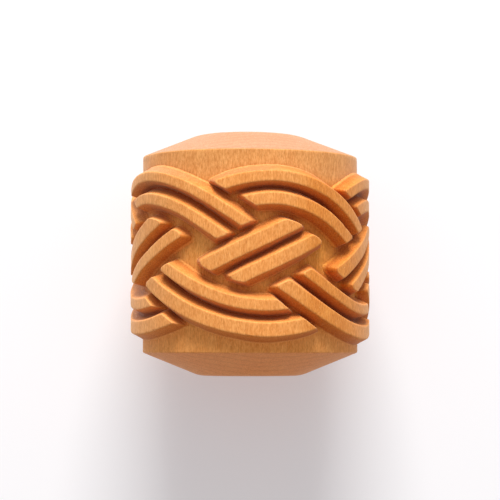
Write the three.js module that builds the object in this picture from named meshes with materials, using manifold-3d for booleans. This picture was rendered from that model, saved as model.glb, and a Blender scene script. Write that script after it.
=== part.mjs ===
// Clay texture roller: one block of hardwood, turned between centres and then carved.
// Units are millimetres, +Z is up and is the roller's axis. The roller stands on one end, and the
// origin is the middle of that end. The front of the roller faces -Y.

import * as THREE from 'three';
import { mergeVertices } from 'three/addons/utils/BufferGeometryUtils.js';
import Module from 'manifold-3d';

// The turned blank
const reliefRadius = 22.5;        // tops of the carved strips, the radius the block is turned to
const reliefDepth = 2.3;          // how far the ground lies below the strip tops
const barrelLength = 36.8;        // straight part between the two end cones
const lowerConeHeight = 4.35;     // axial height of the cone at the lower end
const upperConeHeight = 4.25;     // axial height of the cone at the upper end
const lowerFlatRadius = 9.5;      // out to the corner between the lower flat and its cone
const upperFlatRadius = 9.3;      // out to the corner between the upper flat and its cone
const lowerBlend = 1.2;           // from the lower corner back to where its sanded round starts
const upperBlend = 1.8;           // from the upper corner back to where its sanded round starts
const seatRing = 4;               // from the finger dimple out to the corner of the cone
const dimpleDepth = 1.7;          // finger dimple, a shallow spherical dish
const edgeRound = 0.4;            // sanded round where a cone meets the barrel

// The knot band: six bights, four leads, each lead a pair of strips. Widths are those of the tops.
const bights = 6;
const archUpperStrip = 2;
const archLowerStrip = 2.25;
const crossUpperStrip = 2.55;
const crossLowerStrip = 2.3;
const bowlUpperStrip = 2.15;      // a bowl is a lower arch, which hangs where an upper one stands
const bowlLowerStrip = 2.45;
const pairGap = 2;                // groove between the two strips of a pair
const flankAngle = 26;            // slope of an outer flank, degrees off the radius
const endAngle = 12;              // slope of a cut end
const grooveSlope = 30;           // slope of the wall below an upper strip, which the gouge leaned on
const grooveWall = 8;             // slope of the steep wall above a lower strip
const topCollar = 4;              // plain barrel above the upper arches
const bottomCollar = 2.9;         // plain barrel below the bowls
const knotHeight = 22.85;         // middle of the cross bars, above the lower end
const crossAngle = 31;            // climb of the cross bars, degrees
const archSpan = 1.785;           // half wave of an upper arch, in bights
const bowlSpan = 2.035;           // half wave of a bowl, in bights
const knotPhase = 3.3;            // where a cross bar passes mid-height, degrees right of the front
const archLead = 3;               // crest of an upper arch, degrees right of the knot phase
const bowlLead = -3.65;           // trough of a bowl, degrees right of the knot phase

// Gaps left on top where a pair is cut off at the band that it dives under, for its upper strip
// and its lower one
const archStartGaps = [1.7, 2.35]; // at the arch before it
const archEndGaps = [2.1, 1.95];   // at the cross bar
const crossStartGaps = [2.9, 2.7]; // at the bowl
const crossEndGaps = [2.5, 2.9];   // at the upper arch
const bowlStartGaps = [2.8, 2.7];  // at the cross bar
const bowlEndGaps = [1.85, 1.85];  // at the bowl after it
const cutLean = 0.1;               // how far a cut turns towards square to its strip, as a slope
const crossStartLean = 0.18;

// The pattern was laid out by hand, so it drifts once round the roller
const driftTurn = 11.5;           // degrees, stretches the front and closes up the back
const driftLead = 28;             // how far left of the front that error is nil, degrees
const driftTilt = 0.55;           // down on the right of the front and up on the left

// Fineness of the faceted surfaces
const barrelFacets = 72;
const ringStep = 6;               // degrees between two rings along a strip
const dimpleRings = 5;
const blendRings = 2;
const edgeRings = 2;
const rootDepth = 0.55;           // how far a strip is sunk into the blank before they are joined
const mergeDistance = 1e-5;       // points closer than this are one point
const slopeStep = 0.02;           // how far to each side a curve's slope is taken
const searchStrides = 40;         // strides a bight, on the way to a cut
const searchHalvings = 30;        // halvings of the last stride
const searchReach = 1.4;          // bights from the middle of a band, further than any cut

// Sizes that follow from those above
const groundRadius = reliefRadius - reliefDepth;
const rollerLength = lowerConeHeight + barrelLength + upperConeHeight;
const pitch = 2 * Math.PI * reliefRadius / bights;
const upperEdge = lowerConeHeight + barrelLength - topCollar;
const lowerEdge = lowerConeHeight + bottomCollar;
const archCrest = upperEdge - archUpperStrip - pairGap / 2 - knotHeight;
const bowlTrough = knotHeight - lowerEdge - bowlLowerStrip - pairGap / 2;

const radians = THREE.MathUtils.degToRad;
const alongSurface = (degrees) => reliefRadius * radians(degrees);

const wasm = await Module();
wasm.setup();

function solidFrom(geometry) {
  geometry.deleteAttribute('normal');
  geometry.deleteAttribute('uv');
  const merged = mergeVertices(geometry, mergeDistance);
  return new wasm.Manifold(new wasm.Mesh({
    numProp: 3,
    vertProperties: new Float32Array(merged.attributes.position.array),
    triVerts: new Uint32Array(merged.index.array),
  }));
}

function geometryFrom(solid) {
  const mesh = solid.getMesh();
  const geometry = new THREE.BufferGeometry();
  geometry.setAttribute('position', new THREE.BufferAttribute(mesh.vertProperties, 3));
  geometry.setIndex(new THREE.BufferAttribute(mesh.triVerts, 1));
  geometry.computeVertexNormals();
  return geometry;
}

// An arc that leaves one point at one slope and ends at a steeper one
function arc(start, firstSlope, lastSlope, radius, rings) {
  const centre = {
    radius: start.radius - radius * Math.sin(firstSlope),
    height: start.height + radius * Math.cos(firstSlope),
  };
  const points = [];
  for (let ring = 0; ring <= rings; ring++) {
    const slope = THREE.MathUtils.lerp(firstSlope, lastSlope, ring / rings);
    points.push({
      radius: centre.radius + radius * Math.sin(slope),
      height: centre.height - radius * Math.cos(slope),
    });
  }
  return points;
}

// Half of the blank's outline at one end, from the middle of the end face out to the barrel.
// height is measured from the end face into the roller.
function endOutline(coneHeight, flatRadius, blend) {
  const points = [];
  const dimpleRadius = flatRadius - seatRing;
  const dishRadius = (dimpleRadius ** 2 + dimpleDepth ** 2) / (2 * dimpleDepth);
  const dishSweep = Math.asin(dimpleRadius / dishRadius);
  for (let ring = 0; ring <= dimpleRings; ring++) {
    const angle = dishSweep * ring / dimpleRings;
    const height = dimpleDepth - dishRadius * (1 - Math.cos(angle));
    points.push({ radius: dishRadius * Math.sin(angle), height });
  }
  const coneSlope = Math.atan2(coneHeight, groundRadius - flatRadius);
  const flatEnd = { radius: flatRadius - blend, height: 0 };
  points.push(...arc(flatEnd, 0, coneSlope, blend / Math.tan(coneSlope / 2), blendRings));
  const cutBack = edgeRound * Math.tan((Math.PI / 2 - coneSlope) / 2);
  const coneEnd = {
    radius: groundRadius - cutBack * Math.cos(coneSlope),
    height: coneHeight - cutBack * Math.sin(coneSlope),
  };
  points.push(...arc(coneEnd, coneSlope, Math.PI / 2, edgeRound, edgeRings));
  return points;
}

function blank() {
  const lowerEnd = endOutline(lowerConeHeight, lowerFlatRadius, lowerBlend);
  const upperEnd = endOutline(upperConeHeight, upperFlatRadius, upperBlend);
  const lower = lowerEnd.map((p) => new THREE.Vector2(p.radius, p.height));
  const upper = upperEnd.map((p) => new THREE.Vector2(p.radius, rollerLength - p.height));
  const turned = new THREE.LatheGeometry([...lower, ...upper.reverse()], barrelFacets);
  turned.rotateX(Math.PI / 2);
  return solidFrom(turned);
}

// A band is a curve on the unrolled surface, its height above the knot's own against the distance
// round the roller, with a strip above it, side +1, and a strip below it, side -1.
const upperArch = {
  upperStrip: archUpperStrip,
  lowerStrip: archLowerStrip,
  origin: alongSurface(knotPhase + archLead),
  height: (x) => archCrest * Math.cos(Math.PI * x / (archSpan * pitch)),
};
const crossBar = {
  upperStrip: crossUpperStrip,
  lowerStrip: crossLowerStrip,
  origin: alongSurface(knotPhase),
  height: (x) => x * Math.tan(radians(crossAngle)),
};
const bowl = {
  upperStrip: bowlUpperStrip,
  lowerStrip: bowlLowerStrip,
  origin: alongSurface(knotPhase + bowlLead),
  height: (x) => -bowlTrough * Math.cos(Math.PI * x / (bowlSpan * pitch)),
};

const stripWidth = (band, side) => (side > 0 ? band.upperStrip : band.lowerStrip);
const stripMiddle = (band, side) => side * (pairGap + stripWidth(band, side)) / 2;
const outerEdge = (band, side) => pairGap / 2 + stripWidth(band, side);

function slopeOf(band, x) {
  return (band.height(x + slopeStep) - band.height(x - slopeStep)) / (2 * slopeStep);
}

// Point on the unrolled surface: x along the band from its origin, then across it, upwards
function bandPoint(band, x, across) {
  const slope = slopeOf(band, x);
  const length = Math.hypot(1, slope);
  return {
    turn: band.origin + x - across * slope / length,
    up: band.height(x) + across / length,
  };
}

// Distance of a surface point above a band's middle line
function distanceAbove(band, point) {
  const x = point.turn - band.origin;
  return (point.up - band.height(x)) / Math.hypot(1, slopeOf(band, x));
}

// Walks along a strip from x = 0 until the line at one offset across meets its cut. direction is
// +1 for the cut at its end and -1 for the one at its start.
function cutStation(band, side, direction, cut, across, sunk) {
  const gap = side > 0 ? cut.gaps[0] : cut.gaps[1];
  const batter = sunk * Math.tan(radians(endAngle));
  const turned = cut.lean * (across - stripMiddle(band, side));
  const reach = outerEdge(cut.under, cut.side) + gap - batter - turned;
  const clear = (x) => distanceAbove(cut.under, bandPoint(band, x, across)) * cut.side > reach;
  const stride = direction * pitch / searchStrides;
  let near = 0;
  let far = 0;
  while (clear(far) && Math.abs(far) < searchReach * pitch) {
    near = far;
    far += stride;
  }
  for (let halving = 0; halving < searchHalvings; halving++) {
    const middle = (near + far) / 2;
    if (clear(middle)) {
      near = middle;
    } else {
      far = middle;
    }
  }
  return near;
}

// Wraps a surface point round the roller, with the drift of the hand layout
function wrap(point, radius) {
  const turn = point.turn / reliefRadius;
  const angle = turn + radians(driftTurn) * Math.sin(turn + radians(driftLead));
  const height = knotHeight + point.up - driftTilt * Math.sin(2 * turn);
  return [radius * Math.sin(angle), -radius * Math.cos(angle), height];
}

// One strip: a ribbon with a flat top, two sloping flanks and two sloping cut ends
function strip(band, side, start, end) {
  const middle = stripMiddle(band, side);
  const width = stripWidth(band, side);
  const depth = reliefDepth + rootDepth;
  const below = depth * Math.tan(radians(side > 0 ? grooveSlope : flankAngle));
  const above = depth * Math.tan(radians(side > 0 ? flankAngle : grooveWall));
  const corners = [
    { across: middle - width / 2 - below, sunk: depth },
    { across: middle - width / 2, sunk: 0 },
    { across: middle + width / 2, sunk: 0 },
    { across: middle + width / 2 + above, sunk: depth },
  ];
  for (const corner of corners) {
    corner.from = cutStation(band, side, -1, start, corner.across, corner.sunk);
    corner.to = cutStation(band, side, 1, end, corner.across, corner.sunk);
  }
  const longest = Math.max(...corners.map((corner) => corner.to - corner.from));
  const steps = Math.ceil(longest / alongSurface(ringStep));
  const position = [];
  for (let ring = 0; ring <= steps; ring++) {
    for (const corner of corners) {
      const x = THREE.MathUtils.lerp(corner.from, corner.to, ring / steps);
      position.push(...wrap(bandPoint(band, x, corner.across), reliefRadius - corner.sunk));
    }
  }
  return ribbonSolid(position, corners.length, steps);
}

function ribbonSolid(position, around, steps) {
  const index = [];
  for (let ring = 0; ring < steps; ring++) {
    for (let corner = 0; corner < around; corner++) {
      const a = ring * around + corner;
      const b = ring * around + (corner + 1) % around;
      index.push(a, a + around, b, b, a + around, b + around);
    }
  }
  const last = steps * around;
  for (let corner = 1; corner < around - 1; corner++) {
    index.push(0, corner, corner + 1);
    index.push(last, last + corner + 1, last + corner);
  }
  const geometry = new THREE.BufferGeometry();
  geometry.setAttribute('position', new THREE.Float32BufferAttribute(position, 3));
  geometry.setIndex(index);
  return solidFrom(geometry);
}

const onBight = (band, bight) => ({ ...band, origin: band.origin + bight * pitch });

// The three kinds of band of one bight. A cut names the band that it dives under and the side of
// that band that it comes from, +1 above and -1 below.
function bandsOf(bight) {
  return [
    {
      band: onBight(upperArch, bight),
      start: { under: onBight(upperArch, bight - 1), side: 1, gaps: archStartGaps, lean: cutLean },
      end: { under: onBight(crossBar, bight + 1), side: 1, gaps: archEndGaps, lean: cutLean },
    },
    {
      band: onBight(crossBar, bight),
      start: { under: onBight(bowl, bight), side: 1, gaps: crossStartGaps, lean: crossStartLean },
      end: { under: onBight(upperArch, bight), side: -1, gaps: crossEndGaps, lean: cutLean },
    },
    {
      band: onBight(bowl, bight),
      start: { under: onBight(crossBar, bight - 1), side: -1, gaps: bowlStartGaps, lean: 0 },
      end: { under: onBight(bowl, bight + 1), side: -1, gaps: bowlEndGaps, lean: cutLean },
    },
  ];
}

function carvedRoller() {
  let roller = blank();
  for (let bight = 0; bight < bights; bight++) {
    for (const { band, start, end } of bandsOf(bight)) {
      for (const side of [1, -1]) {
        roller = roller.add(strip(band, side, start, end));
      }
    }
  }
  return roller;
}

const wood = new THREE.MeshStandardMaterial({ color: 0xd08f52, roughness: 0.62, metalness: 0 });

const clayRoller = new THREE.Group();
const rollerMesh = new THREE.Mesh(geometryFrom(carvedRoller()), wood);
rollerMesh.name = 'carved_roller';
clayRoller.add(rollerMesh);

export default clayRoller;
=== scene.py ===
"""Clay texture roller: one turned block of hardwood with an interlaced knot band carved round it.

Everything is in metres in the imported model's frame. +Z is the roller's axis, the roller stands on
its lower end, and its front faces -Y. The pale surface that the roller lies against stands upright
behind it, as the floor does when a roller on its side is seen from above.
"""

import math
from dataclasses import dataclass, replace
from typing import Callable

import bmesh
import bpy
import numpy as np
from mathutils import Matrix, Vector, noise
from mathutils.bvhtree import BVHTree


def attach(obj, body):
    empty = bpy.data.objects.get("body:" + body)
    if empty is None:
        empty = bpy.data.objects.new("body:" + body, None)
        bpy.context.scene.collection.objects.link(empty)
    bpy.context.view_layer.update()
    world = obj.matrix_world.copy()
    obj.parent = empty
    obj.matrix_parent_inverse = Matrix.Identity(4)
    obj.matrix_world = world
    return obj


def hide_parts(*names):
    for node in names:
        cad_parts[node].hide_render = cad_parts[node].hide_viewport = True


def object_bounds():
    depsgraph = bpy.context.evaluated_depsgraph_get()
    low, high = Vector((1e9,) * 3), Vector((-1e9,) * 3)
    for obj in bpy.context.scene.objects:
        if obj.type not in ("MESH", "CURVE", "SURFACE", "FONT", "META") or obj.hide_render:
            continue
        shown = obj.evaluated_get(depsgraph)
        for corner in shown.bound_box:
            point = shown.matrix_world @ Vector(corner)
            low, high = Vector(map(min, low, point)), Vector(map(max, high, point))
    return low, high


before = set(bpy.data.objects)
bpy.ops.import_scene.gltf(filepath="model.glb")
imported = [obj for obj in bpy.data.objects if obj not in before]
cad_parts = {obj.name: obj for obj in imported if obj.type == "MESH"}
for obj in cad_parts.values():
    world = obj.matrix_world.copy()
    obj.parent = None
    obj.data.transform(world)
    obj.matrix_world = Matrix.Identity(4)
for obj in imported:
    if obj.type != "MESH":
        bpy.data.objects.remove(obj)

bl_info = {
    "name": "Carved Clay Roller",
    "version": (1, 0, 0),
    "blender": (4, 5, 0),
    "location": "View3D > Sidebar > Clay Roller",
    "description": "Carves a hardwood clay roller with an interlaced knot band and sets its stage",
    "category": "Object",
}

CAD_NODE = "carved_roller"
CAD_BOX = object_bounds()
RELIEF_RADIUS = (CAD_BOX[1].x - CAD_BOX[0].x) / 2
ROLLER_LENGTH = CAD_BOX[1].z - CAD_BOX[0].z
MILLIMETRE = 0.001
MERGE_DISTANCE = 1e-6


def length(name, millimetres, description):
    return bpy.props.FloatProperty(
        name=name,
        description=description,
        default=millimetres * MILLIMETRE,
        precision=5,
        unit="LENGTH",
        subtype="DISTANCE",
    )


def angle(name, degrees, description):
    return bpy.props.FloatProperty(
        name=name,
        description=description,
        default=math.radians(degrees),
        unit="ROTATION",
        subtype="ANGLE",
    )


def number(name, value, description):
    return bpy.props.FloatProperty(name=name, description=description, default=value, precision=4)


def colour(name, rgb, description):
    return bpy.props.FloatVectorProperty(
        name=name, description=description, default=rgb, size=3, min=0, max=1, subtype="COLOR"
    )


class RollerSizes(bpy.types.PropertyGroup):
    """Sizes of the turned block and of the band carved round it."""

    relief_depth: length("Relief depth", 2.3, "How far the ground lies below the strip tops")
    lower_cone: length("Lower cone", 4.35, "Axial height of the cone at the lower end")
    upper_cone: length("Upper cone", 4.25, "Axial height of the cone at the upper end")
    lower_flat_radius: length("Lower flat radius", 9.5, "Flat in the middle of the lower end")
    upper_flat_radius: length("Upper flat radius", 9.3, "Flat in the middle of the upper end")
    lower_blend: length("Lower blend", 1.2, "Length of the round between the lower cone and flat")
    upper_blend: length("Upper blend", 1.8, "Length of the round between the upper cone and flat")
    upper_lean: length("Upper lean", 0.3, "How far the upper flat was sanded off centre")
    upper_tilt: angle("Upper tilt", 0.4, "How far the upper end was sanded down on the right")
    seat_ring: length("Seat ring", 4.0, "From the finger dimple to the corner of the cone")
    dimple_depth: length("Dimple depth", 1.7, "Shallow dish in the middle of each end")
    edge_round: length("Edge round", 0.35, "Sanded round where a cone meets the barrel")

    bights: bpy.props.IntProperty(name="Bights", description="Scallops along each edge", default=6)
    upper_arch_upper_strip: length("Upper arch upper strip", 2.0, "Top width of the strip")
    upper_arch_lower_strip: length("Upper arch lower strip", 2.25, "Top width of the strip")
    cross_upper_strip: length("Cross bar upper strip", 2.55, "Top width of the strip")
    cross_lower_strip: length("Cross bar lower strip", 2.3, "Top width of the strip")
    lower_arch_upper_strip: length("Lower arch upper strip", 2.15, "Top width of the strip")
    lower_arch_lower_strip: length("Lower arch lower strip", 2.45, "Top width of the strip")
    pair_gap: length("Pair gap", 2.0, "Top width of the groove between two strips of a pair")
    flank_angle: angle("Flank angle", 26, "Slope of the outer flanks, off the radius")
    foot_round: length("Foot round", 0.12, "How far the flanks and cut ends run out at the foot")
    end_angle: angle("End angle", 12, "Slope of the cut ends of the strips, off the radius")
    groove_slope: angle("Groove slope", 23.5, "Slope of the upper wall of the groove in a pair")
    groove_wall: angle("Groove wall", 23, "Slope of the lower wall of the groove in a pair")
    top_collar: length("Upper collar", 4.0, "Plain barrel above the upper arches")
    bottom_collar: length("Lower collar", 2.9, "Plain barrel below the lower arches")
    knot_height: length("Knot height", 22.85, "Middle of the cross bars above the lower end")
    cross_angle: angle("Cross angle", 31.0, "Climb of the cross bars")
    upper_arch_span: number("Upper arch span", 1.785, "Half wave of an upper arch, in bights")
    lower_arch_span: number("Lower arch span", 2.035, "Half wave of a lower arch, in bights")
    knot_phase: angle("Knot phase", 3.3, "Where a cross bar passes mid-height, right of the front")
    upper_arch_lead: angle("Upper arch lead", 3.0, "Crest of an upper arch past the knot phase")
    lower_arch_lead: angle("Lower arch lead", -3.65, "Trough of a lower arch past the knot phase")

    upper_arch_start_upper: length("Upper arch start, upper", 1.7, "Upper strip to the arch before it")
    upper_arch_start_lower: length("Upper arch start, lower", 2.35, "Lower strip to the arch before it")
    upper_arch_end_upper: length("Upper arch end, upper", 2.1, "Upper strip to the cross bar")
    upper_arch_end_lower: length("Upper arch end, lower", 1.95, "Lower strip to the cross bar")
    cross_start_upper: length("Cross start, upper", 2.9, "Upper strip to the lower arch")
    cross_start_lower: length("Cross start, lower", 2.7, "Lower strip to the lower arch")
    cross_end_upper: length("Cross end, upper", 2.5, "Upper strip to the upper arch")
    cross_end_lower: length("Cross end, lower", 2.9, "Lower strip to the upper arch")
    lower_arch_start_upper: length("Lower arch start, upper", 2.8, "Upper strip to the cross bar")
    lower_arch_start_lower: length("Lower arch start, lower", 2.7, "Lower strip to the cross bar")
    lower_arch_end_upper: length("Lower arch end, upper", 1.85, "Upper strip to the arch after it")
    lower_arch_end_lower: length("Lower arch end, lower", 1.85, "Lower strip to the arch after it")
    cut_lean: number("Cut lean", 0.1, "How far a cut end turns square to its strip, as a slope")

    drift_turn: angle("Drift round", 11.5, "The hand layout's error round the roller")
    drift_turn_lead: angle("Drift round lead", 28, "How far left of the front that error is nil")
    drift_tilt: length("Drift tilt", 0.55, "How far the band hangs low right of the front")

    arris: length("Arris", 0.11, "Width of the worn round along the top edges of the strips")
    wander: length("Wander", 0.09, "How far the carved edges stray from the drawn line")
    nick: length("Nick", 0.16, "Depth of the small chips along the arrises")
    facet: length("Knife facet", 0.14, "How far the foot of a flank strays between knife cuts")


class WoodLook(bpy.types.PropertyGroup):
    """Colours and grain of the oiled hardwood, some of them with painted light and shade."""

    top: colour("Strip tops", (0.975, 0.475, 0.168), "Smooth tops of the strips")
    # Painted light: the knife-cut sides are darker and more saturated where they face down, paler where
    # they face up, chosen by the surface normal
    side: colour("Strip sides", (0.88, 0.312, 0.054), "Knife-cut sides that face the lower end")
    side_painted_lit: colour("Upper sides", (0.86, 0.365, 0.098), "Knife-cut sides that face the upper end")
    # Partly oil and partly painted shade: the tint by which a side darkens towards its foot in the
    # groove
    side_foot_oil_and_shade: colour("Side foot", (0.70, 0.54, 0.40), "Tint of the oil towards the foot of a side")
    # Painted highlight: the paler, pinker colour of the flanks below the upper collar, standing in for
    # light from the upper left
    painted_flank_highlight: colour("Upper flank", (0.63, 0.30, 0.128), "Flanks that face the upper collar")
    # Painted highlight: every strip but those at the left limb takes this darker tint, so the left limb
    # stays paler, as lit from the left
    tint_outside_left_highlight: colour("Heartwood", (0.97, 0.92, 0.82), "Tint of all strips but those at the left")
    streak: colour("Streak", (0.92, 0.80, 0.54), "Tint of the redder streak through the strips")
    ground: colour("Carved ground", (0.95, 0.475, 0.138), "Cut surface round the strips")
    # Painted light: both collars are the same turned wood; the lower one is brighter and more
    # saturated, standing in for warm light from below, the upper one paler as lit
    lower_collar: colour("Lower collar", (1.0, 0.468, 0.145), "Turned surface below the band")
    upper_collar: colour("Upper collar", (0.84, 0.42, 0.15), "Turned surface above the band")
    # Painted light: both ends are the same end grain; the upper end is paler and pinker as a painted
    # reflection, the lower end redder as painted shade
    lower_end: colour("Lower end", (1.0, 0.405, 0.142), "Sanded cone and flat at the lower end")
    upper_end: colour("Upper end", (0.52, 0.28, 0.163), "Sanded cone and flat at the upper end")
    # Partly oil and partly painted shade: darkens the hollows and grooves, the deeper ones more
    oil_and_shade: colour("Oil", (0.50, 0.205, 0.07), "Tint of the oil and dust left in the grooves")
    # Partly wear and partly painted highlight: pale rubbed edges that also stand in for light along the
    # arrises, and pale fuzzy fibre specks
    worn_fibres_and_highlight: colour("Worn arris", (0.98, 0.52, 0.22), "Rubbed edges and fuzzy fibres")
    vessel: colour("Vessels", (0.36, 0.12, 0.03), "Fine dark pores along the grain")
    roughness: number("Roughness", 0.52, "Roughness of the oiled surface")
    fuzz: number("Fuzz", 0.25, "Pale sheen of the short cut fibres")
    fibre_width: length("Fibre width", 0.20, "Width of a streak of grain")
    fibre_length: length("Fibre length", 1.25, "Length of a streak of grain along the axis")
    ring_width: length("Growth ring", 1.9, "Distance between two growth rings")
    pith_distance: length("Pith distance", 62, "From the roller's axis back to the tree's pith")


class StageLook(bpy.types.PropertyGroup):
    """The pale surface behind the roller, the lamps and the camera."""

    backdrop: colour("Backdrop", (0.73, 0.73, 0.73), "Pale surface that the roller lies against")
    backdrop_glow: colour("Backdrop glow", (0.86, 0.86, 1.0), "Its extra paleness for the camera")
    backdrop_size: length("Backdrop size", 3000, "Side of the pale surface")
    backdrop_lift: number("Backdrop lift", 0.245, "Extra paleness of the surface seen by the camera")
    ambient_high: number("Light from above", 0.60, "Strength of the soft light from above and behind")
    ambient_low: number("Light from below", 0.45, "Strength of the soft light from below")
    ambient_tint: colour("Tint from below", (1.0, 0.93, 0.85), "Its warm colour")
    key_power: number("Key power", 13.4, "Softbox above and in front of the roller, in watts")
    rear_power: number("Rear power", 6.0, "Softbox behind the roller, in watts")
    camera_distance: length("Camera distance", 398, "From the roller's axis to the camera")
    camera_height: length("Camera height", 5.3, "Above the surface that the roller stands on")
    aim_height: length("Aim height", 23.70, "Where the middle of the view meets the roller's axis")
    lens: number("Lens", 151.8, "Focal length in millimetres on a 36 mm sensor")


# The turned block

OUTLINE_DISH_STEPS = 10
OUTLINE_FLAT_STEPS = 4
OUTLINE_BLEND_STEPS = 6
OUTLINE_CONE_STEPS = 16
OUTLINE_EDGE_STEPS = 4
OUTLINE_BARREL_STEPS = 64
BLANK_STEPS = 240


def end_outline(sizes, cone_height, flat_radius, blend):
    """Radius and height of one end's outline, from the middle of the end out to the barrel."""
    ground_radius = RELIEF_RADIUS - sizes.relief_depth
    dimple_radius = flat_radius - sizes.seat_ring
    dish_radius = (dimple_radius**2 + sizes.dimple_depth**2) / (2 * sizes.dimple_depth)
    dish_sweep = math.asin(dimple_radius / dish_radius)
    points = []
    for step in range(OUTLINE_DISH_STEPS + 1):
        turn = dish_sweep * step / OUTLINE_DISH_STEPS
        rise = sizes.dimple_depth - dish_radius * (1 - math.cos(turn))
        points.append((dish_radius * math.sin(turn), rise))

    cone_slope = math.atan2(cone_height, ground_radius - flat_radius)
    cone_end = flat_radius - blend
    cone_points = arc_between(
        (cone_end, 0.0), 0.0, cone_slope, blend / math.tan(cone_slope / 2), OUTLINE_BLEND_STEPS
    )
    for step in range(1, OUTLINE_FLAT_STEPS):
        share = step / OUTLINE_FLAT_STEPS
        points.append((dimple_radius + share * (cone_end - dimple_radius), 0.0))
    points += cone_points

    cut_back = sizes.edge_round * math.tan((math.pi / 2 - cone_slope) / 2)
    edge_start = (
        ground_radius - cut_back * math.cos(cone_slope),
        cone_height - cut_back * math.sin(cone_slope),
    )
    edge = arc_between(
        edge_start, cone_slope, math.pi / 2, sizes.edge_round, OUTLINE_EDGE_STEPS
    )
    start = points[-1]
    for step in range(1, OUTLINE_CONE_STEPS):
        share = step / OUTLINE_CONE_STEPS
        points.append(
            (
                start[0] + share * (edge_start[0] - start[0]),
                start[1] + share * (edge_start[1] - start[1]),
            )
        )
    return points + edge


def arc_between(start, first_slope, last_slope, radius, steps):
    """Points of an arc that leaves start at one slope and ends at a steeper one."""
    centre = (
        start[0] - radius * math.sin(first_slope),
        start[1] + radius * math.cos(first_slope),
    )
    points = []
    for step in range(steps + 1):
        slope = first_slope + (last_slope - first_slope) * step / steps
        points.append(
            (centre[0] + radius * math.sin(slope), centre[1] - radius * math.cos(slope))
        )
    return points


def turned_block(sizes):
    """The block as it leaves the lathe, as a bmesh spun from half of its outline."""
    lower = end_outline(sizes, sizes.lower_cone, sizes.lower_flat_radius, sizes.lower_blend)
    upper_end = end_outline(sizes, sizes.upper_cone, sizes.upper_flat_radius, sizes.upper_blend)
    upper = [(radius, ROLLER_LENGTH - height) for radius, height in reversed(upper_end)]
    barrel_radius = lower[-1][0]
    start, end = lower[-1][1], upper[0][1]
    barrel = []
    for step in range(1, OUTLINE_BARREL_STEPS):
        height = start + (end - start) * step / OUTLINE_BARREL_STEPS
        barrel.append((barrel_radius, height))

    bm = bmesh.new()
    verts = [bm.verts.new((radius, 0, height)) for radius, height in lower + barrel + upper]
    edges = [bm.edges.new(pair) for pair in zip(verts, verts[1:])]
    bmesh.ops.spin(
        bm,
        geom=verts + edges,
        cent=(0, 0, 0),
        axis=(0, 0, 1),
        angle=math.tau,
        steps=BLANK_STEPS,
        use_merge=True,
        use_duplicate=False,
    )
    bmesh.ops.remove_doubles(bm, verts=bm.verts, dist=MERGE_DISTANCE)
    bmesh.ops.recalc_face_normals(bm, faces=bm.faces)
    upper_edge = ROLLER_LENGTH - sizes.upper_cone
    tilt_start = upper_edge - sizes.top_collar / 2
    for vert in bm.verts:
        if vert.co.z > upper_edge:
            vert.co.x -= sizes.upper_lean * (vert.co.z - upper_edge) / sizes.upper_cone
        share = min(max((vert.co.z - tilt_start) / (upper_edge - tilt_start), 0), 1)
        drop = (vert.co.x + RELIEF_RADIUS / 2) * math.tan(sizes.upper_tilt)
        vert.co.z -= share * max(drop, 0)
    return bm


# The knot band, drawn on the unrolled surface

SLOPE_STEP = 1e-5


@dataclass(frozen=True)
class Band:
    """A pair of strips along one curve: height above mid-height against distance round."""

    upper_strip: float
    lower_strip: float
    pair_gap: float
    origin: float
    height: Callable

    def strip(self, side):
        """Top width of the upper strip, side 1, or the lower one, side -1."""
        return self.upper_strip if side > 0 else self.lower_strip

    def middle(self, side):
        """From the middle of the groove to the middle of one strip."""
        return side * (self.pair_gap + self.strip(side)) / 2

    def edge(self, side):
        """From the middle of the groove to the outer edge of one strip."""
        return self.pair_gap / 2 + self.strip(side)

    def slope(self, x):
        rise = self.height(x + SLOPE_STEP) - self.height(x - SLOPE_STEP)
        return rise / (2 * SLOPE_STEP)

    def point(self, x, across):
        """Surface point x along the band from its origin, then across it, upwards."""
        slope = self.slope(x)
        run = math.hypot(1, slope)
        return self.origin + x - across * slope / run, self.height(x) + across / run

    def above(self, turn, up):
        """Distance of a surface point above the band's middle line."""
        x = turn - self.origin
        return (up - self.height(x)) / math.hypot(1, self.slope(x))


@dataclass(frozen=True)
class Cut:
    """Where a pair ends: the band that it dives under, its side and the gap each strip leaves."""

    under: Band
    side: int
    upper_gap: float
    lower_gap: float
    lean: float
    slips: dict


@dataclass(frozen=True)
class Run:
    """One kind of band and its cut ends, with two finishes in millimetres.

    rounds are the plan corners: at the start below and above, then at the end below and above.
    pares are how far the undersides of the upper and the lower strip are pared back.
    """

    name: str
    band: Band
    start: Cut
    end: Cut
    rounds: tuple
    pares: tuple


# Single cuts that slipped: how far past its line, in millimetres, a cut stands on one bight's
# upper strip, 1, or lower strip, -1
UPPER_ARCH_START_SLIPS = {(1, 1): 0.4, (1, -1): 1.0}
UPPER_ARCH_END_SLIPS = {(0, -1): -0.6}
CROSS_START_SLIPS = {(1, 1): 0.4, (1, -1): 0.8}
CROSS_END_SLIPS = {(0, -1): -0.4}
LOWER_ARCH_START_SLIPS = {(0, 1): 0.3}

# A cross bar's start leans the other way and half as far, as a share of the cut lean
CROSS_START_LEAN = -0.5

# Single strips whose upper edge stands lower than drawn, in millimetres
UPPER_PARES = {
    ("upper_arch", 5, 1): 0.18,
    ("upper_arch", 5, -1): 0.22,
    ("cross_bar", 5, 1): -0.2,
    ("cross_bar", 5, -1): 0.18,
    ("lower_arch", 1, 1): 0.15,
}


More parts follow.
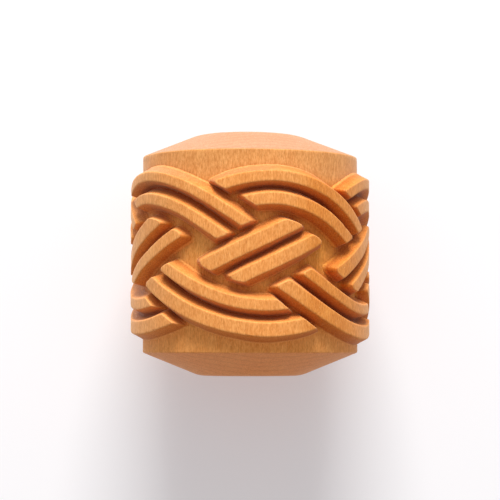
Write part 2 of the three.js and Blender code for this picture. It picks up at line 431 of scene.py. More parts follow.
def knot_runs(sizes):
    """The upper arches, cross bars and lower arches of one bight."""
    pitch = math.tau * RELIEF_RADIUS / sizes.bights
    upper_edge = ROLLER_LENGTH - sizes.upper_cone - sizes.top_collar
    lower_edge = sizes.lower_cone + sizes.bottom_collar
    crest = upper_edge - sizes.upper_arch_upper_strip - sizes.pair_gap / 2 - sizes.knot_height
    trough = sizes.knot_height - lower_edge - sizes.lower_arch_lower_strip - sizes.pair_gap / 2
    phase = RELIEF_RADIUS * sizes.knot_phase
    climb = math.tan(sizes.cross_angle)
    upper = Band(
        sizes.upper_arch_upper_strip,
        sizes.upper_arch_lower_strip,
        sizes.pair_gap,
        phase + RELIEF_RADIUS * sizes.upper_arch_lead,
        lambda x: crest * math.cos(math.pi * x / (sizes.upper_arch_span * pitch)),
    )
    lower = Band(
        sizes.lower_arch_upper_strip,
        sizes.lower_arch_lower_strip,
        sizes.pair_gap,
        phase + RELIEF_RADIUS * sizes.lower_arch_lead,
        lambda x: -trough * math.cos(math.pi * x / (sizes.lower_arch_span * pitch)),
    )
    cross = Band(
        sizes.cross_upper_strip,
        sizes.cross_lower_strip,
        sizes.pair_gap,
        phase,
        lambda x: climb * x,
    )

    def moved(band, bights):
        return replace(band, origin=band.origin + bights * pitch)

    def cut(under, side, gaps, lean=1.0, slips=None):
        return Cut(under, side, *gaps, lean * sizes.cut_lean, slips or {})

    return [
        Run(
            "upper_arch",
            upper,
            cut(
                moved(upper, -1),
                1,
                (sizes.upper_arch_start_upper, sizes.upper_arch_start_lower),
                slips=UPPER_ARCH_START_SLIPS,
            ),
            cut(
                moved(cross, 1),
                1,
                (sizes.upper_arch_end_upper, sizes.upper_arch_end_lower),
                slips=UPPER_ARCH_END_SLIPS,
            ),
            rounds=(0.3, 0.8, 0.3, 0.6),
            pares=(0.08, 0.13),
        ),
        Run(
            "cross_bar",
            cross,
            cut(
                lower,
                1,
                (sizes.cross_start_upper, sizes.cross_start_lower),
                lean=CROSS_START_LEAN,
                slips=CROSS_START_SLIPS,
            ),
            cut(
                upper,
                -1,
                (sizes.cross_end_upper, sizes.cross_end_lower),
                slips=CROSS_END_SLIPS,
            ),
            rounds=(0.4, 1.3, 0.9, 0.6),
            pares=(0.06, 0.11),
        ),
        Run(
            "lower_arch",
            lower,
            cut(
                moved(cross, -1),
                -1,
                (sizes.lower_arch_start_upper, sizes.lower_arch_start_lower),
                lean=0.0,
                slips=LOWER_ARCH_START_SLIPS,
            ),
            cut(moved(lower, 1), -1, (sizes.lower_arch_end_upper, sizes.lower_arch_end_lower)),
            rounds=(0.7, 0.5, 0.3, 0.4),
            pares=(0.14, 0.0),
        ),
    ]


SEARCH_STRIDES = 60
SEARCH_HALVINGS = 24
SEARCH_BIGHTS = 1.5


def cut_station(run, side, bight, across, sunk, sizes, direction):
    """How far along its band a line across the strip gets before it meets its cut."""
    cut = run.end if direction > 0 else run.start
    gap = cut.upper_gap if side > 0 else cut.lower_gap
    reach = cut.under.edge(cut.side) + gap - sunk * math.tan(sizes.end_angle)
    reach -= foot_run(sunk, sizes)
    reach -= cut.slips.get((bight, side), 0) * MILLIMETRE
    reach -= cut.lean * (across - run.band.middle(side))
    furthest = SEARCH_BIGHTS * math.tau * RELIEF_RADIUS / sizes.bights

    def clear(x):
        return cut.under.above(*run.band.point(x, across)) * cut.side > reach

    near, far = 0.0, 0.0
    stride = direction * furthest / SEARCH_STRIDES
    while clear(far) and abs(far) < furthest:
        near, far = far, far + stride
    for _ in range(SEARCH_HALVINGS):
        middle = (near + far) / 2
        if clear(middle):
            near = middle
        else:
            far = middle
    return near


# A strip starts as a flat bar with rounded arrises and is then bent round the roller

ARRIS_SEGMENTS = 2
CORNER_SEGMENTS = 5
RING_SPACING = 0.0005
EDGE_COLUMNS = (0.00035, 0.0009)
END_COLUMN = 0.00025
END_SHARE = 0.4
FLANK_ROWS = 6
ROOT_SHARE = 0.25
FOOT_POWER = 5


def foot_run(sunk, sizes):
    """How far a flank has run out, past its straight slope, at one depth."""
    return sizes.foot_round * min(sunk / sizes.relief_depth, 1) ** FOOT_POWER


def flat_bar(bar_length, width, depth, lower_flare, upper_flare, arris, rounds):
    """A bar with its top at z = 0: x runs along it, y across it, and its flanks slope out."""
    bm = bmesh.new()
    bmesh.ops.create_cube(bm, size=1)
    for vert in bm.verts:
        low = vert.co.z < 0
        flare = (lower_flare if vert.co.y < 0 else upper_flare) if low else 0
        vert.co.x = (vert.co.x + 0.5) * bar_length
        vert.co.y = math.copysign(width / 2 + flare, vert.co.y)
        vert.co.z = -depth if low else 0

    middle = bar_length / 2
    places = [(-1, -1), (-1, 1), (1, -1), (1, 1)]
    for (end, side), offset in zip(places, rounds):
        corner = [
            edge
            for edge in bm.edges
            if all((v.co.x - middle) * end > END_SHARE * bar_length for v in edge.verts)
            and all(v.co.y * side > 0 for v in edge.verts)
            and abs(edge.verts[0].co.z - edge.verts[1].co.z) > depth / 2
        ]
        bmesh.ops.bevel(
            bm,
            geom=corner,
            offset=offset * MILLIMETRE,
            offset_type="OFFSET",
            affect="EDGES",
            segments=CORNER_SEGMENTS,
            profile=0.5,
            material=-1,
        )
    rim = [edge for edge in bm.edges if all(v.co.z > -MERGE_DISTANCE for v in edge.verts)]
    bmesh.ops.bevel(
        bm,
        geom=rim,
        offset=arris,
        offset_type="OFFSET",
        affect="EDGES",
        segments=ARRIS_SEGMENTS,
        profile=0.5,
        material=-1,
    )

    def slice_at(place, normal):
        bmesh.ops.bisect_plane(
            bm,
            geom=bm.verts[:] + bm.edges[:] + bm.faces[:],
            dist=MERGE_DISTANCE,
            plane_co=place,
            plane_no=normal,
        )

    rings = round(bar_length / RING_SPACING)
    for ring in range(1, rings):
        slice_at((bar_length * ring / rings, 0, 0), (1, 0, 0))
    for column in EDGE_COLUMNS:
        slice_at((0, width / 2 - column, 0), (0, 1, 0))
        slice_at((0, column - width / 2, 0), (0, 1, 0))
    slice_at((0, 0, 0), (0, 1, 0))
    slice_at((END_COLUMN, 0, 0), (1, 0, 0))
    slice_at((bar_length - END_COLUMN, 0, 0), (1, 0, 0))
    for row in range(1, FLANK_ROWS):
        slice_at((0, 0, -arris - (depth - arris) * row / FLANK_ROWS), (0, 0, 1))
    return bm


def rounded_corner(along, inside, radius):
    """Pulls a point near a corner of the bar inside a round of that radius."""
    if along < radius and inside < radius:
        reach = math.hypot(radius - along, radius - inside)
        if reach > radius:
            share = radius / reach
            return radius - (radius - along) * share, radius - (radius - inside) * share
    return along, inside


WANDER_SEED = 7
CORNER_GROWTH = 0.15
LENGTH_STATION = 0.25
FACET_LENGTH = 0.0018
FACET_SHIFTS = (7.3, 3.1)
WANDER_SCALE = 0.006
NICK_SCALE = 0.00045
NICK_THRESHOLD = 0.34
NICK_GAIN = 2


def strip_mesh(run, side, sizes, parity):
    """Every second copy of one strip of a pair, bent round the roller, as one mesh."""
    band = run.band
    depth = sizes.relief_depth * (1 + ROOT_SHARE)
    lower_flare = depth * math.tan(sizes.flank_angle if side < 0 else sizes.groove_slope)
    upper_flare = depth * math.tan(sizes.groove_wall if side < 0 else sizes.flank_angle)
    middle = band.middle(side)
    half_width = band.strip(side) / 2
    pare = run.pares[0 if side > 0 else 1] * MILLIMETRE
    pitch = math.tau * RELIEF_RADIUS / sizes.bights
    joined = bmesh.new()
    mesh = bpy.data.meshes.new("bar")
    for bight in range(parity, sizes.bights, 2):
        upper_pare = UPPER_PARES.get((run.name, bight, side), 0) * MILLIMETRE
        facet_row = bight * FACET_SHIFTS[0] + side * FACET_SHIFTS[1]
        stations = {}

        def station(across, sunk, direction):
            key = (round(across, 7), round(sunk, 7), direction)
            if key not in stations:
                stations[key] = cut_station(run, side, bight, across, sunk, sizes, direction)
            return stations[key]

        reach = station(middle, 0, 1) - station(middle, 0, -1)
        bar_length = reach * math.hypot(1, band.slope(LENGTH_STATION * reach))
        bar = flat_bar(
            bar_length, band.strip(side), depth, lower_flare, upper_flare, sizes.arris, run.rounds
        )
        for vert in bar.verts:
            sunk = -vert.co.z
            flank = half_width + sunk * (upper_flare if vert.co.y > 0 else lower_flare) / depth
            from_end = min(vert.co.x, bar_length - vert.co.x)
            along, inside = rounded_corner(
                from_end, flank - abs(vert.co.y), CORNER_GROWTH * sunk
            )
            forward = vert.co.x < bar_length / 2
            vert.co.x = along if forward else bar_length - along
            vert.co.y = math.copysign(flank - inside, vert.co.y)
            if vert.co.y * side > 0:
                vert.co.y += side * foot_run(sunk, sizes) * min(abs(vert.co.y) / half_width, 1)
            cut_line = Vector((vert.co.x / FACET_LENGTH, facet_row, 0))
            facet = noise.noise(cut_line) * sizes.facet * min(sunk / sizes.relief_depth, 1)
            across = middle + vert.co.y + (pare if vert.co.y < 0 else -upper_pare)
            first = station(across, sunk, -1)
            last = station(across, sunk, 1)
            x = first + (last - first) * vert.co.x / bar_length
            turn, up = band.point(x, across + math.copysign(facet, vert.co.y))
            vert.co = wrap(turn + bight * pitch, up, RELIEF_RADIUS - sunk, sizes)
            stray = noise.noise_vector(vert.co / WANDER_SCALE)
            vert.co += stray * sizes.wander
            if MERGE_DISTANCE < sunk < sizes.arris + MERGE_DISTANCE:
                chip = noise.noise(vert.co / NICK_SCALE) - NICK_THRESHOLD
                if chip > 0:
                    inward = -Vector((vert.co.x, vert.co.y, 0)).normalized()
                    vert.co += inward * min(chip * NICK_GAIN, 1) * sizes.nick
        bar.to_mesh(mesh)
        bar.free()
        joined.from_mesh(mesh)
    joined.to_mesh(mesh)
    joined.free()
    return mesh


def wrap(turn, up, radius, sizes):
    """Bends a point of the unrolled surface round the roller, with the drift of the layout."""
    around = turn / RELIEF_RADIUS
    drifted = around + sizes.drift_turn * math.sin(around + sizes.drift_turn_lead)
    height = sizes.knot_height + up - sizes.drift_tilt * math.sin(2 * around)
    return Vector((radius * math.sin(drifted), -radius * math.cos(drifted), height))


def link(name, data):
    piece = bpy.data.objects.new(name, data)
    bpy.context.scene.collection.objects.link(piece)
    return piece


MAP_TURNS = 720
MAP_HEIGHTS = 232
MAP_REACH = 0.004
HOLLOW_BLUR = 5
RUBBED_BLUR = 1


def blurred(depths, cells):
    """A height map smoothed by three passes of a square mean, closed round the roller."""
    for _ in range(3):
        total = np.zeros_like(depths)
        for shift in range(-cells, cells + 1):
            total += np.roll(depths, shift, axis=0)
        depths = total / (2 * cells + 1)
        padded = np.pad(depths, ((0, 0), (cells, cells)), mode="edge")
        total = np.zeros_like(depths)
        for shift in range(2 * cells + 1):
            total += padded[:, shift : shift + depths.shape[1]]
        depths = total / (2 * cells + 1)
    return depths


def record_relief(mesh):
    """Keeps, for every point, how far it lies under and over the mean of what is round it."""
    tree = BVHTree.FromPolygons(
        [v.co for v in mesh.vertices], [p.vertices for p in mesh.polygons]
    )
    radii = np.zeros((MAP_TURNS, MAP_HEIGHTS))
    start_radius = RELIEF_RADIUS + MAP_REACH
    for column in range(MAP_TURNS):
        turn = math.tau * column / MAP_TURNS
        outward = Vector((math.cos(turn), math.sin(turn), 0))
        for row in range(MAP_HEIGHTS):
            height = ROLLER_LENGTH * (row + 0.5) / MAP_HEIGHTS
            start = outward * start_radius + Vector((0, 0, height))
            _, _, _, distance = tree.ray_cast(start, -outward, start_radius)
            radii[column, row] = start_radius - (distance or 0)

    places = np.empty(len(mesh.vertices) * 3)
    mesh.vertices.foreach_get("co", places)
    x, y, z = places.reshape(-1, 3).T
    column = (np.arctan2(y, x) / math.tau * MAP_TURNS) % MAP_TURNS
    row = np.clip(z / ROLLER_LENGTH * MAP_HEIGHTS - 0.5, 0, MAP_HEIGHTS - 1.001)
    radius = np.hypot(x, y)
    left, low = np.floor(column).astype(int), np.floor(row).astype(int)
    u, v = column - left, row - low
    right = (left + 1) % MAP_TURNS
    left = left % MAP_TURNS
    for name, cells, sign in (("hollow", HOLLOW_BLUR, 1), ("rubbed", RUBBED_BLUR, -1)):
        level = blurred(radii, cells)
        mean = (level[left, low] * (1 - u) + level[right, low] * u) * (1 - v)
        mean += (level[left, low + 1] * (1 - u) + level[right, low + 1] * u) * v
        values = np.clip(sign * (mean - radius), 0, None) / MILLIMETRE
        values[radius < RELIEF_RADIUS - MAP_REACH] = 0
        layer = mesh.attributes.new(name, "FLOAT", "POINT")
        layer.data.foreach_set("value", values.astype(np.float32))


GROUND_WAVE = 0.00004
GROUND_WAVE_SCALE = 0.0035
SHARP_ANGLE = math.radians(32)


class CLAYROLLER_OT_carve(bpy.types.Operator):
    """Turn the block, carve the knot band round it and finish the wood"""

    bl_idname = "clay_roller.carve"
    bl_label = "Carve Roller"

    def execute(self, context):
        sizes = context.scene.clay_roller_sizes
        look = context.scene.clay_roller_wood
        noise.seed_set(WANDER_SEED)
        block = turned_block(sizes)
        ground_radius = RELIEF_RADIUS - sizes.relief_depth
        for vert in block.verts:
            radial = Vector((vert.co.x, vert.co.y, 0))
            if radial.length > ground_radius - MERGE_DISTANCE:
                wave = noise.noise(vert.co / GROUND_WAVE_SCALE)
                vert.co += radial.normalized() * wave * GROUND_WAVE
        mesh = bpy.data.meshes.new(CAD_NODE + "_wood")
        block.to_mesh(mesh)
        block.free()
        roller = link("roller_wood", mesh)
        tools = []
        for run in knot_runs(sizes):
            for side in (1, -1):
                for parity in (0, 1):
                    strips = link(run.name, strip_mesh(run, side, sizes, parity))
                    tools.append(strips)
                    join = roller.modifiers.new("Join " + run.name, "BOOLEAN")
                    join.operation = "UNION"
                    join.solver = "MANIFOLD"
                    join.object = strips
        context.view_layer.update()
        graph = context.evaluated_depsgraph_get()
        carved = bpy.data.meshes.new_from_object(roller.evaluated_get(graph))
        roller.modifiers.clear()
        roller.data = carved
        for tool in tools:
            bpy.data.objects.remove(tool)
        record_relief(carved)
        carved.polygons.foreach_set("use_smooth", [True] * len(carved.polygons))
        carved.set_sharp_from_angle(angle=SHARP_ANGLE)
        carved.materials.clear()
        carved.materials.append(oiled_hardwood(look, sizes))
        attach(roller, "root")
        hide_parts(CAD_NODE)
        return {"FINISHED"}


# The wood. Lengths are in metres, grains are noise cells to the metre across and along the axis.

TOP_FADE = (0.00014, 0.00005)
GROUND_FADE = (0.0002, 0.0006)
SIDE_START = 0.0003
CONE_FADE = 0.00005
BARREL_FADE = 0.0001
UPPER_COLLAR_FADE = 0.0035
LOWER_COLLAR_FADE = 0.0030
# Painted highlight: where the paler left limb ends and the darker tint begins
LEFT_HIGHLIGHT_EDGE = (-0.0190, -0.0120)
# Painted highlight: across which the pale flank colour fades out, right of the front
PAINTED_FLANK_HIGHLIGHT_END = (0.0020, 0.0080)
STREAK_PLACE = 0.0146
STREAK_REACH = (0.0025, 0.0085)
STREAK_SWAY = 0.006
PITH_ASIDE = 0.012
RING_SWAY = 2.2
LATE_WOOD = (0.55, 0.98)
RING_DEPTHS = (0.15, 0.45)
RING_TINT = (0.80, 0.66, 0.5)
FLECK_GRAIN = (4200, 4200, 1500)
BROAD_GRAIN = (900, 900, 110)
VESSEL_GRAIN = (6200, 6200, 1400)
SPECK_GRAIN = (5200, 5200, 2600)
SWAY_GRAIN = (60, 60, 18)
CLOUD_SCALE = 130.0
VESSEL_LEVELS = (0.6, 0.72)
SPECK_LEVELS = (0.6, 0.74)
VESSEL_SHARE = 0.25
SPECK_SHARE = 0.4
EDGE_WEAR_AND_HIGHLIGHT_SHARE = 0.3
# Painted light: the normal's z over which a side turns from its shaded colour to its lit one
LIT_FROM_ABOVE_NORMAL_Z = (0.0, 0.35)

# How far under and over their surroundings, in millimetres, oil and painted shade gather and edges wear
# and take a painted highlight
OIL_AND_SHADE_HOLLOW = (0.25, 1.40)
EDGE_WEAR_AND_HIGHLIGHT_RUBBED = (0.10, 0.45)

# Layers of grain: the noise's low and high level, the most of the tint that it gives, and the tint
GRAIN_LAYERS = {
    "fibres": (0.32, 0.68, 1.0, (0.84, 0.75, 0.66)),
    "flecks": (0.40, 0.64, 1.0, (0.86, 0.77, 0.66)),
    "broad": (0.35, 0.7, 0.6, (0.92, 0.84, 0.76)),
    "cloud": (0.35, 0.65, 0.5, (1.0, 0.92, 0.82)),
}


class Nodes:
    """Short calls that add and join shader nodes."""

    def __init__(self, tree):
        self.tree = tree
        tree.nodes.clear()

    def add(self, kind, **values):
        node = self.tree.nodes.new("ShaderNode" + kind)
        for name, value in values.items():
            setattr(node, name, value)
        return node

    def join(self, source, target):
        self.tree.links.new(source, target)

    def feed(self, socket, value):
        if isinstance(value, bpy.types.NodeSocket):
            self.join(value, socket)
        else:
            socket.default_value = value

    def math(self, operation, *values, clamp=False):
        node = self.add("Math", operation=operation, use_clamp=clamp)
        for socket, value in zip(node.inputs, values):
            self.feed(socket, value)
        return node.outputs[0]

    def remap(self, value, low, high, new_low=0.0, new_high=1.0, smooth=True):
        node = self.add("MapRange", clamp=True)
        node.interpolation_type = "SMOOTHSTEP" if smooth else "LINEAR"
        for name, number_or_socket in (
            ("Value", value),
            ("From Min", low),
            ("From Max", high),
            ("To Min", new_low),
            ("To Max", new_high),
        ):
            self.feed(node.inputs[name], number_or_socket)
        return node.outputs["Result"]

    def mix(self, share, first, second, blend="MIX"):
        node = self.add("Mix", data_type="RGBA", blend_type=blend)
        self.feed(node.inputs["Factor"], share)
        for name, value in (("A", first), ("B", second)):
            socket = [s for s in node.inputs if s.name == name and s.type == "RGBA"][0]
            self.feed(socket, (*value, 1) if isinstance(value, (tuple, list)) else value)
        return [s for s in node.outputs if s.type == "RGBA"][0]

    def hypotenuse(self, first, second):
        squares = (self.math("MULTIPLY", side, side) for side in (first, second))
        return self.math("SQRT", self.math("ADD", *squares))

    def seen(self):
        """1 for rays that show a surface as it is: from the camera, a mirror or a glass."""
        rays = self.add("LightPath").outputs
        seen = self.math("MAXIMUM", rays["Is Camera Ray"], rays["Is Glossy Ray"])
        return self.math("MAXIMUM", seen, rays["Is Transmission Ray"])

    def noise(self, place, scale, detail=3.0, roughness=0.5):
        node = self.add("TexNoise")
        self.feed(node.inputs["Vector"], place)
        self.feed(node.inputs["Scale"], scale)
        self.feed(node.inputs["Detail"], detail)
        self.feed(node.inputs["Roughness"], roughness)
        return node.outputs["Fac"]

    def place(self, vector, location=(0, 0, 0), scale=(1, 1, 1)):
        node = self.add("Mapping")
        self.feed(node.inputs["Vector"], vector)
        self.feed(node.inputs["Location"], location)
        self.feed(node.inputs["Scale"], scale)
        return node.outputs["Vector"]


def oiled_hardwood(look, sizes):
    """Solid wood grain that runs along the axis, read from the piece's own coordinates, with painted
    light and shade on the sides, flanks, ends, collars and hollows.
    """
    material = bpy.data.materials.new("oiled_hardwood")
    material.use_nodes = True
    n = Nodes(material.node_tree)
    here = n.add("TexCoord").outputs["Object"]
    split = n.add("SeparateXYZ")
    n.join(here, split.inputs[0])
    x, y, z = split.outputs

    def tinted(share, base, tint):
        return n.mix(share, base, n.mix(1.0, base, tint, "MULTIPLY"))

    radius = n.hypotenuse(x, y)
    ground_radius = RELIEF_RADIUS - sizes.relief_depth
    on_ground = n.remap(
        radius, ground_radius + GROUND_FADE[0], ground_radius + GROUND_FADE[1], 1.0, 0.0
    )
    on_top = n.remap(radius, RELIEF_RADIUS - TOP_FADE[0], RELIEF_RADIUS - TOP_FADE[1])
    sunk = n.remap(radius, ground_radius, RELIEF_RADIUS - SIDE_START, 1.0, 0.0, smooth=False)

    upper_edge = ROLLER_LENGTH - sizes.upper_cone
    on_lower = n.remap(z, sizes.lower_cone - CONE_FADE, sizes.lower_cone + BARREL_FADE, 1.0, 0.0)
    past_left = n.math("MAXIMUM", n.math("ADD", x, RELIEF_RADIUS / 2), 0.0)
    tilted = n.math("ADD", z, n.math("MULTIPLY", past_left, math.tan(sizes.upper_tilt)))
    on_upper = n.remap(tilted, upper_edge - BARREL_FADE, upper_edge + CONE_FADE)

    band_crest = upper_edge - sizes.top_collar
    above_band = n.remap(z, band_crest - UPPER_COLLAR_FADE, band_crest)
    band_foot = sizes.lower_cone + sizes.bottom_collar
    below_band = n.remap(z, band_foot, band_foot + LOWER_COLLAR_FADE, 1.0, 0.0)

    def grain(cells, detail=2.0, roughness=0.5):
        return n.noise(n.place(here, scale=cells), 1.0, detail=detail, roughness=roughness)

    fibre = (1 / look.fibre_width, 1 / look.fibre_width, 1 / look.fibre_length)
    layers = {
        "fibres": grain(fibre, roughness=0.55),
        "flecks": grain(FLECK_GRAIN, roughness=0.6),
        "broad": grain(BROAD_GRAIN),
        "cloud": n.noise(here, CLOUD_SCALE),
    }
    vessels = n.remap(grain(VESSEL_GRAIN, detail=1.0), *VESSEL_LEVELS)
    specks = n.remap(grain(SPECK_GRAIN), *SPECK_LEVELS)

    pith_split = n.add("SeparateXYZ")
    n.join(n.place(here, location=(PITH_ASIDE, -look.pith_distance, 0)), pith_split.inputs[0])
    pith_x, pith_y, _ = pith_split.outputs
    sway = n.math("MULTIPLY", grain(SWAY_GRAIN), RING_SWAY)
    ring = n.math("DIVIDE", n.hypotenuse(pith_x, pith_y), look.ring_width)
    ring_share = n.math("FRACT", n.math("ADD", ring, sway))
    late_wood = n.remap(ring_share, *LATE_WOOD)
    ring_edge = n.remap(ring_share, LATE_WOOD[1], 1.0, 1.0, 0.0)
    rings = n.math("MULTIPLY", late_wood, ring_edge)

    hollow = n.add("Attribute", attribute_name="hollow").outputs["Fac"]
    rubbed = n.add("Attribute", attribute_name="rubbed").outputs["Fac"]
    # Painted light from above: sides facing up take the paler lit colour, sides facing down the darker
    # shaded one
    facing = n.add("SeparateXYZ")
    n.join(n.add("NewGeometry").outputs["Normal"], facing.inputs[0])
    lit_from_above_share = n.remap(facing.outputs["Z"], *LIT_FROM_ABOVE_NORMAL_Z)
    sides = n.mix(lit_from_above_share, tuple(look.side), tuple(look.side_painted_lit))
    # Painted shade, partly oil: each side darkens with depth towards its foot
    sides = tinted(sunk, sides, tuple(look.side_foot_oil_and_shade))
    base = n.mix(on_top, sides, tuple(look.top))
    # Painted highlight: flanks under the upper collar turn paler and pinker, fading out right of the
    # front
    painted_flank_highlight = n.math("MULTIPLY", above_band, n.math("SUBTRACT", 1.0, on_top))
    painted_flank_highlight = n.math("MULTIPLY", painted_flank_highlight, n.remap(x, *PAINTED_FLANK_HIGHLIGHT_END, 1.0, 0.0))
    base = n.mix(painted_flank_highlight, base, tuple(look.painted_flank_highlight))
    # Painted highlight: the left limb is spared this darker tint and stays paler
    base = tinted(n.remap(x, *LEFT_HIGHLIGHT_EDGE), base, tuple(look.tint_outside_left_highlight))
    stray = n.math("MULTIPLY", n.math("SUBTRACT", layers["cloud"], 0.5), STREAK_SWAY)
    from_streak = n.math("SUBTRACT", n.math("ADD", x, stray), STREAK_PLACE)
    streaked = n.remap(n.math("ABSOLUTE", from_streak), *STREAK_REACH, 1.0, 0.0)
    base = tinted(streaked, base, tuple(look.streak))
    ground = tinted(streaked, tuple(look.ground), tuple(look.streak))
    # Painted light: the upper and lower collar are one wood, coloured apart for the light each gets
    ground = n.mix(above_band, ground, tuple(look.upper_collar))
    ground = n.mix(below_band, ground, tuple(look.lower_collar))
    base = n.mix(on_ground, base, ground)
    # Painted light: the lower end takes a shaded red copy of the end grain, the upper end a paler,
    # pinker lit copy
    base = n.mix(on_lower, base, tuple(look.lower_end))
    base = n.mix(on_upper, base, tuple(look.upper_end))
    for name, (low, high, most, tint) in GRAIN_LAYERS.items():
        base = tinted(n.remap(layers[name], low, high, 0.0, most), base, tint)
    on_end = n.math("MAXIMUM", on_lower, on_upper)
    ring_depth = n.remap(on_end, 0.0, 1.0, *RING_DEPTHS, smooth=False)
    base = tinted(n.math("MULTIPLY", rings, ring_depth), base, RING_TINT)
    base = n.mix(n.math("MULTIPLY", vessels, VESSEL_SHARE), base, tuple(look.vessel))
    # Painted shade, partly oil: hollows darken by how far they lie under their surroundings, but not on
    # the lower collar
    oil_and_shade_share = n.math("MULTIPLY", n.remap(hollow, *OIL_AND_SHADE_HOLLOW), n.math("SUBTRACT", 1.0, below_band))
    base = tinted(oil_and_shade_share, base, tuple(look.oil_and_shade))
    # Partly wear and partly painted highlight: edges that stand over their surroundings turn paler, in
    # patches
    patchy = n.remap(layers["flecks"], 0.35, 0.6, 0.2, 1.0)
    worn_fibres_and_highlight = n.math("MULTIPLY", n.remap(rubbed, *EDGE_WEAR_AND_HIGHLIGHT_RUBBED), patchy)
    base = n.mix(n.math("MULTIPLY", worn_fibres_and_highlight, EDGE_WEAR_AND_HIGHLIGHT_SHARE), base, tuple(look.worn_fibres_and_highlight))
    base = n.mix(n.math("MULTIPLY", specks, SPECK_SHARE), base, tuple(look.worn_fibres_and_highlight))

    cut_fibres = n.math("MULTIPLY", n.math("SUBTRACT", specks, vessels), 0.35)
    height = n.math("ADD", n.math("MULTIPLY", layers["fibres"], 0.5), cut_fibres)
    bump = n.add("Bump")
    bump.inputs["Strength"].default_value = 0.5
    bump.inputs["Distance"].default_value = 0.00005
    n.join(height, bump.inputs["Height"])

    shader = n.add("BsdfPrincipled")
    shader.inputs["Metallic"].default_value = 0.0
    shader.inputs["IOR"].default_value = 1.5
    shader.inputs["Specular IOR Level"].default_value = 0.05
    shader.inputs["Sheen Weight"].default_value = look.fuzz
    shader.inputs["Sheen Roughness"].default_value = 0.5
    shader.inputs["Sheen Tint"].default_value = (1.0, 0.84, 0.64, 1)
    n.join(base, shader.inputs["Base Color"])
    n.join(bump.outputs["Normal"], shader.inputs["Normal"])
    n.join(
        n.remap(layers["fibres"], 0.3, 0.7, look.roughness - 0.06, look.roughness + 0.08),
        shader.inputs["Roughness"],
    )
    output = n.add("OutputMaterial")
    n.join(shader.outputs[0], output.inputs["Surface"])
    return material


# The stage


def pale_surface(look):
    """White to the camera and to glossy rays, with the roller's shadow. Other light passes."""
    material = bpy.data.materials.new("pale_surface")
    material.use_nodes = True
    n = Nodes(material.node_tree)
    back = n.add("NewGeometry").outputs["Backfacing"]
    shown = n.math("MULTIPLY", n.seen(), n.math("SUBTRACT", 1.0, back))
    diffuse = n.add("BsdfDiffuse")
    diffuse.inputs["Color"].default_value = (*look.backdrop, 1)
    glow = n.add("Emission")
    glow.inputs["Color"].default_value = (*look.backdrop_glow, 1)
    glow.inputs["Strength"].default_value = look.backdrop_lift
    pale = n.add("AddShader")
    n.join(diffuse.outputs[0], pale.inputs[0])
    n.join(glow.outputs[0], pale.inputs[1])
    clear = n.add("BsdfTransparent")
    mix = n.add("MixShader")
    n.join(shown, mix.inputs[0])
    n.join(clear.outputs[0], mix.inputs[1])
    n.join(pale.outputs[0], mix.inputs[2])
    output = n.add("OutputMaterial")
    n.join(mix.outputs[0], output.inputs["Surface"])
    return material


SKY_DIRECTION = (0, 0.5, 0.866)


def studio_world(look):
    """White to the camera, and an even soft light for everything else."""
    world = bpy.data.worlds.new("studio")
    world.use_nodes = True
    n = Nodes(world.node_tree)
    towards = n.add("VectorMath", operation="DOT_PRODUCT")
    n.join(n.add("TexCoord").outputs["Generated"], towards.inputs[0])
    towards.inputs[1].default_value = SKY_DIRECTION
    ambient = n.add("Background")
    share = n.remap(towards.outputs["Value"], -1.0, 1.0, smooth=False)
    n.join(n.mix(share, tuple(look.ambient_tint), (1.0, 1.0, 1.0)), ambient.inputs["Color"])
    level = n.remap(share, 0.0, 1.0, look.ambient_low, look.ambient_high, smooth=False)
    n.join(level, ambient.inputs["Strength"])
    white = n.add("Background")
    white.inputs["Color"].default_value = (1, 1, 1, 1)
    white.inputs["Strength"].default_value = 1.0
    mix = n.add("MixShader")
    n.join(n.seen(), mix.inputs[0])
    n.join(ambient.outputs[0], mix.inputs[1])
    n.join(white.outputs[0], mix.inputs[2])
    output = n.add("OutputWorld")
    n.join(mix.outputs[0], output.inputs["Surface"])
    return world


def softbox(name, place, target, width, height, power):
    lamp = bpy.data.lights.new(name, "AREA")
    lamp.shape = "RECTANGLE"
    lamp.size = width
    lamp.size_y = height
    lamp.energy = power
    holder = link(name, lamp)
    holder.location = place
    holder.rotation_euler = (target - place).to_track_quat("-Z", "Y").to_euler()


KEY_PLACE = Vector((0.02, -0.36, 0.85))
KEY_SIZE = (0.42, 0.44)
REAR_PLACE = Vector((-0.28, 0.70, 0.55))
REAR_SIZE = (0.80, 0.80)
SENSOR_WIDTH = 36
CLIP_START = 0.01
CLIP_END = 20


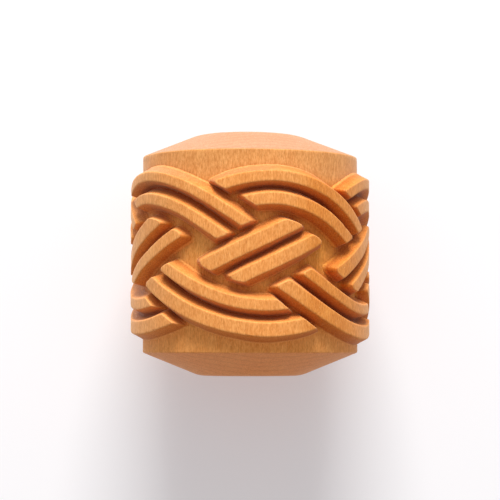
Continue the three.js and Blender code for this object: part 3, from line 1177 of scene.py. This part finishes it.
class CLAYROLLER_OT_stage(bpy.types.Operator):
    """Set the pale surface, the soft lamps, the world and the camera"""

    bl_idname = "clay_roller.stage"
    bl_label = "Set Stage"

    def execute(self, context):
        look = context.scene.clay_roller_stage
        scene = context.scene
        bm = bmesh.new()
        bmesh.ops.create_grid(bm, x_segments=1, y_segments=1, size=look.backdrop_size / 2)
        upright = Matrix.Rotation(math.pi / 2, 3, "X")
        bmesh.ops.rotate(bm, verts=bm.verts, cent=(0, 0, 0), matrix=upright)
        middle = Vector((0, RELIEF_RADIUS, ROLLER_LENGTH / 2))
        bmesh.ops.translate(bm, verts=bm.verts, vec=middle)
        mesh = bpy.data.meshes.new("pale_surface")
        bm.to_mesh(mesh)
        bm.free()
        mesh.materials.append(pale_surface(look))
        link("pale_surface", mesh)

        target = Vector((0, 0, ROLLER_LENGTH / 2))
        softbox("key_softbox", KEY_PLACE, target, *KEY_SIZE, look.key_power)
        softbox("rear_softbox", REAR_PLACE, target, *REAR_SIZE, look.rear_power)
        scene.world = studio_world(look)
        scene.view_settings.view_transform = "Standard"

        camera = bpy.data.cameras.new("camera")
        camera.lens = look.lens
        camera.sensor_width = SENSOR_WIDTH
        camera.clip_start = CLIP_START
        camera.clip_end = CLIP_END
        holder = link("camera", camera)
        holder.location = (0, -look.camera_distance, look.camera_height)
        aim = Vector((0, 0, look.aim_height))
        holder.rotation_euler = (aim - holder.location).to_track_quat("-Z", "Y").to_euler()
        scene.camera = holder
        return {"FINISHED"}


class CLAYROLLER_PT_panel(bpy.types.Panel):
    """Sizes and colours of the roller, and the two steps that make it"""

    bl_idname = "CLAYROLLER_PT_panel"
    bl_label = "Clay Roller"
    bl_space_type = "VIEW_3D"
    bl_region_type = "UI"
    bl_category = "Clay Roller"

    def draw(self, context):
        scene = context.scene
        for title, operator, group in (
            ("Roller", CLAYROLLER_OT_carve.bl_idname, scene.clay_roller_sizes),
            ("Wood", None, scene.clay_roller_wood),
            ("Stage", CLAYROLLER_OT_stage.bl_idname, scene.clay_roller_stage),
        ):
            box = self.layout.box()
            box.label(text=title)
            for name in type(group).__annotations__:
                box.prop(group, name)
            if operator:
                box.operator(operator)


CLASSES = (
    RollerSizes,
    WoodLook,
    StageLook,
    CLAYROLLER_OT_carve,
    CLAYROLLER_OT_stage,
    CLAYROLLER_PT_panel,
)


def register():
    for cls in CLASSES:
        bpy.utils.register_class(cls)
    bpy.types.Scene.clay_roller_sizes = bpy.props.PointerProperty(type=RollerSizes)
    bpy.types.Scene.clay_roller_wood = bpy.props.PointerProperty(type=WoodLook)
    bpy.types.Scene.clay_roller_stage = bpy.props.PointerProperty(type=StageLook)


def unregister():
    del bpy.types.Scene.clay_roller_stage
    del bpy.types.Scene.clay_roller_wood
    del bpy.types.Scene.clay_roller_sizes
    for cls in reversed(CLASSES):
        bpy.utils.unregister_class(cls)


def main():
    register()
    bpy.ops.clay_roller.carve()
    bpy.ops.clay_roller.stage()


if __name__ == "__main__":
    main()
